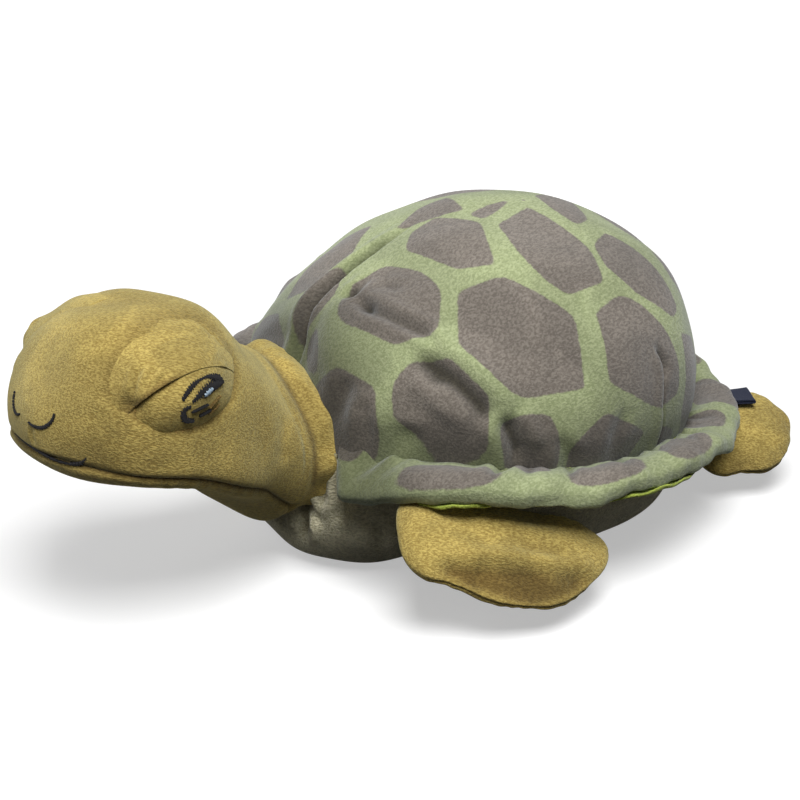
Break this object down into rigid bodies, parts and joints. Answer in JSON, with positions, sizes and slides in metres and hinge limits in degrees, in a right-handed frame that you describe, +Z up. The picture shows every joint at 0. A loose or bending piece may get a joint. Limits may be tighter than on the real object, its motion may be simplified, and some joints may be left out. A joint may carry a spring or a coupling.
{
  "type": "plush turtle",
  "caption": "Stuffed plush turtle lying on its belly, with a domed print shell and padded brim, a head turned to one side on a stuffed neck, and flippers that fold out.",
  "frame": {"origin": "on the flat of the belly, under the middle of the shell, in the plane that the turtle rests on", "axes": "+Z up, the face towards -Y, the turtle's own left side at +X"},
  "size_m": [0.251, 0.3514, 0.1352],
  "materials": {
    "shell_plush": "short nap, brown-grey scutes printed on sage green",
    "lining_plush": "short nap, lime green",
    "belly_plush": "short nap, pale taupe",
    "skin_plush": "tufted nap, ochre",
    "ribbon": "woven, navy",
    "fibre_filling": "loose white polyester fibre",
    "pellet_filling": "bag of small plastic pellets"
  },
  "bodies": {
    "body": {"shell_cover": "shell_plush", "shell_brim": "shell_plush", "brim_lining": "lining_plush", "body_stuffing": "fibre_filling", "sewn_tab": "ribbon", "belly_cover": "belly_plush", "pellet_pouch": "pellet_filling"},
    "neck": {"neck_cover": "skin_plush", "neck_stuffing": "fibre_filling"},
    "head": {"head_cover": "skin_plush", "jaw_panel": "skin_plush", "head_stuffing": "fibre_filling", "left_eye_pad": "skin_plush", "left_eyelid": "skin_plush", "right_eye_pad": "skin_plush", "right_eyelid": "skin_plush"},
    "front_left_flipper": {"front_left_flipper_upper": "skin_plush", "front_left_flipper_underside": "skin_plush", "front_left_flipper_stuffing": "fibre_filling"},
    "front_right_flipper": {"front_right_flipper_upper": "skin_plush", "front_right_flipper_underside": "skin_plush", "front_right_flipper_stuffing": "fibre_filling"},
    "rear_left_flipper": {"rear_left_flipper_upper": "skin_plush", "rear_left_flipper_underside": "skin_plush", "rear_left_flipper_stuffing": "fibre_filling"},
    "rear_right_flipper": {"rear_right_flipper_upper": "skin_plush", "rear_right_flipper_underside": "skin_plush", "rear_right_flipper_stuffing": "fibre_filling"}
  },
  "joints": [
    {"name": "neck_nod", "type": "hinge", "parent": "body", "child": "neck", "pos_m": [0, -0.097, 0.057], "axis": [-1, 0, 0], "range_deg": [-8, 5], "stiffness_Nm_per_rad": 2},
    {"name": "head_turn", "type": "hinge", "parent": "neck", "child": "head", "pos_m": [0, -0.097, 0.057], "axis": [0, 0, 1], "range_deg": [-35, 10], "stiffness_Nm_per_rad": 0.4},
    {"name": "front_left_swing", "type": "hinge", "parent": "body", "child": "front_left_flipper", "pos_m": [0.0905, -0.074, 0.0386], "axis": [0, 0, -1], "range_deg": [0, 55], "stiffness_Nm_per_rad": 0.05},
    {"name": "front_right_swing", "type": "hinge", "parent": "body", "child": "front_right_flipper", "pos_m": [-0.0905, -0.074, 0.0386], "axis": [0, 0, 1], "range_deg": [0, 55], "stiffness_Nm_per_rad": 0.05},
    {"name": "rear_left_swing", "type": "hinge", "parent": "body", "child": "rear_left_flipper", "pos_m": [0.053, 0.098, 0.0215], "axis": [0, 0, -1], "range_deg": [-10, 35], "stiffness_Nm_per_rad": 0.03},
    {"name": "rear_right_swing", "type": "hinge", "parent": "body", "child": "rear_right_flipper", "pos_m": [-0.053, 0.098, 0.0215], "axis": [0, 0, 1], "range_deg": [-10, 35], "stiffness_Nm_per_rad": 0.03}
  ]
}
